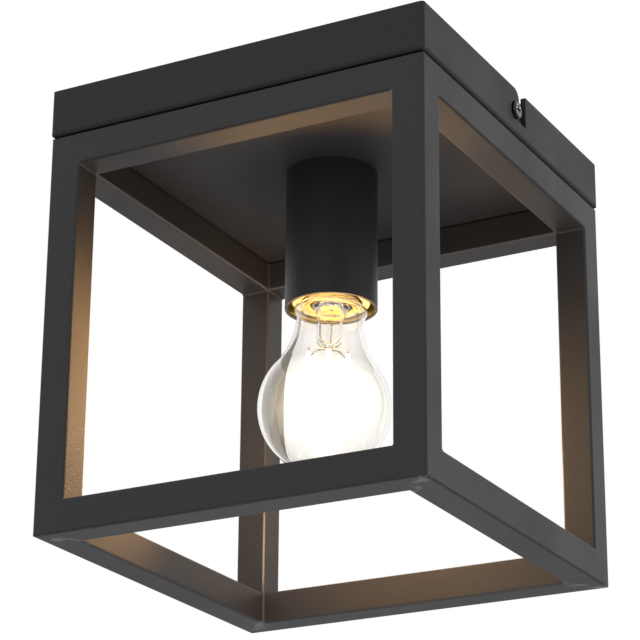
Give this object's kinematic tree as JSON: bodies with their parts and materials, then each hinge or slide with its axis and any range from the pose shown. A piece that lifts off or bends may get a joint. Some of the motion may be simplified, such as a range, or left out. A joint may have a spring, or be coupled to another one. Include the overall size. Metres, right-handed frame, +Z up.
{
  "type": "porch ceiling lantern",
  "caption": "Square open-cage ceiling lantern: folded sheet canopy on a ceiling bracket, welded square-tube cube frame and a pear bulb in a plain round sleeve.",
  "frame": {"origin": "On the ceiling plane at the middle of the bracket's top face, midway between its two slots.", "axes": "+Z up out of the ceiling face, the lantern hanging towards -Z; front faces -Y; +X to the right, where the pictured side screw is."},
  "size_m": [0.189, 0.186, 0.208],
  "materials": {
    "coat": "satin fine-textured powder coat, anthracite",
    "zinc": "bright zinc plating",
    "brass": "plain brass",
    "nickel": "nickel plating",
    "ceramic": "white glazed porcelain and cement",
    "block_plastic": "white moulded plastic",
    "live_insulation": "brown insulation",
    "neutral_insulation": "blue insulation",
    "earth_insulation": "green and yellow insulation",
    "clear_glass": "clear blown glass",
    "black_glass": "black glass insulator",
    "filament": "warm white filament, lit",
    "driver_board": "green driver board in potting"
  },
  "bodies": {
    "bracket": {"mounting_bracket": "zinc", "bracket_weld_nuts": "zinc"},
    "canopy_unit": {"canopy": "coat", "front_top_rail": "coat", "back_top_rail": "coat", "left_top_rail": "coat", "right_top_rail": "coat", "front_left_post": "coat", "front_right_post": "coat", "back_left_post": "coat", "back_right_post": "coat", "front_bottom_rail": "coat", "back_bottom_rail": "coat", "left_bottom_rail": "coat", "right_bottom_rail": "coat", "cage_screws": "zinc", "cage_screw_washers": "zinc", "cage_rivet_nuts": "zinc", "lampholder_sleeve": "coat", "threaded_nipple": "zinc", "nipple_nut": "zinc", "nipple_washer": "zinc", "lampholder_cap": "ceramic", "lampholder_body": "ceramic", "lampholder_insert": "ceramic", "lampholder_shell": "brass", "centre_contact": "brass", "side_contact": "brass", "lampholder_terminals": "brass", "lampholder_terminal_screws": "zinc", "terminal_block": "block_plastic", "terminal_clamps": "brass", "terminal_clamp_screws": "zinc", "terminal_block_studs": "zinc", "terminal_block_nuts": "zinc", "live_wire": "live_insulation", "neutral_wire": "neutral_insulation", "earth_wire": "earth_insulation", "earth_ring_lug": "zinc", "earth_stud": "zinc", "earth_washer": "zinc", "earth_nut": "zinc"},
    "right_washer": {"right_screw_washer": "zinc"},
    "right_screw": {"right_side_screw": "zinc"},
    "left_washer": {"left_screw_washer": "zinc"},
    "left_screw": {"left_side_screw": "zinc"},
    "bulb_tip": {"bulb_contact": "nickel"},
    "bulb": {"bulb_glass": "clear_glass", "bulb_cement": "ceramic", "bulb_cap": "nickel", "bulb_insulator": "black_glass", "bulb_stem": "clear_glass", "bulb_filaments": "filament", "bulb_filament_wires": "nickel", "bulb_driver": "driver_board"}
  },
  "joints": [
    {"name": "canopy_shift", "type": "slide", "parent": "bracket", "child": "canopy_unit", "axis": [0, -1, 0], "range_m": [0, 0.006]},
    {"name": "right_screw_travel", "type": "slide", "parent": "bracket", "child": "right_washer", "axis": [1, 0, 0], "range_m": [0, 0.008]},
    {"name": "right_screw_turn", "type": "hinge", "parent": "right_washer", "child": "right_screw", "pos_m": [0.0923, 0, -0.011], "axis": [1, 0, 0], "range_deg": [0, 4115]},
    {"name": "left_screw_travel", "type": "slide", "parent": "bracket", "child": "left_washer", "axis": [-1, 0, 0], "range_m": [0, 0.008]},
    {"name": "left_screw_turn", "type": "hinge", "parent": "left_washer", "child": "left_screw", "pos_m": [-0.0923, 0, -0.011], "axis": [-1, 0, 0], "range_deg": [0, 4115]},
    {"name": "bulb_travel", "type": "slide", "parent": "canopy_unit", "child": "bulb_tip", "axis": [0, 0, -1], "range_m": [0, 0.02]},
    {"name": "bulb_turn", "type": "hinge", "parent": "bulb_tip", "child": "bulb", "pos_m": [0, 0, -0.0874], "axis": [0, 0, -1], "range_deg": [0, 1980]}
  ],
  "couplings": [
    {"joint": "right_screw_turn", "follows": "right_screw_travel", "rad_per_m": 8976},
    {"joint": "left_screw_turn", "follows": "left_screw_travel", "rad_per_m": 8976},
    {"joint": "bulb_travel", "follows": "bulb_turn", "m_per_rad": 0.00057757}
  ]
}
